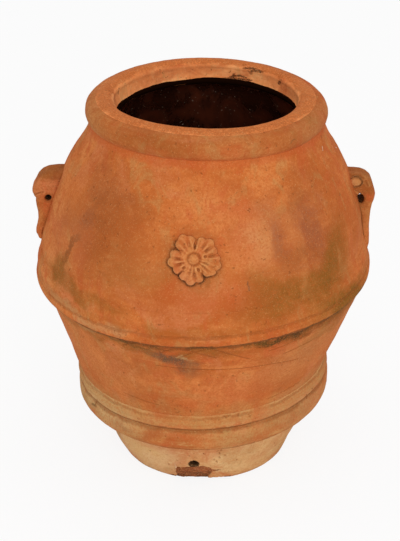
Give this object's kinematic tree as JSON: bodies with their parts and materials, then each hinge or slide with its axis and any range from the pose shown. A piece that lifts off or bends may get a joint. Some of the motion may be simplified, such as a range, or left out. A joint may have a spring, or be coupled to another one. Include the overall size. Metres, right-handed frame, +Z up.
{
  "type": "terracotta jar",
  "caption": "Two-handled storage jar of coil-built terracotta with a rolled rim, belly ridge, foot mouldings, ear handles, front rosette, glazed inside and a spigot hole.",
  "frame": {"origin": "centre of the flat base that the jar stands on", "axes": "+Z up along the jar's axis, -Y towards the front with the rosette and spigot hole, +X towards the right handle"},
  "size_m": [0.685, 0.685, 0.79],
  "materials": {
    "terracotta": "matte",
    "foot_terracotta": "matte",
    "moulding_terracotta": "matte",
    "ornament_terracotta": "matte",
    "brown_glaze": "gloss"
  },
  "bodies": {
    "root": {"floor_slab": "foot_terracotta", "foot_wall": "foot_terracotta", "waist_course": "terracotta", "lower_course": "terracotta", "belly_course": "terracotta", "shoulder_course": "terracotta", "upper_course": "terracotta", "neck_course": "terracotta", "mouth_collar": "terracotta", "rim_roll": "terracotta", "foot_band": "moulding_terracotta", "waist_roll": "moulding_terracotta", "belly_ridge": "terracotta", "right_handle": "ornament_terracotta", "left_handle": "ornament_terracotta", "handle_volute": "ornament_terracotta", "rosette_petals": "ornament_terracotta", "rosette_boss": "ornament_terracotta", "inner_glaze": "brown_glaze"}
  },
  "joints": []
}
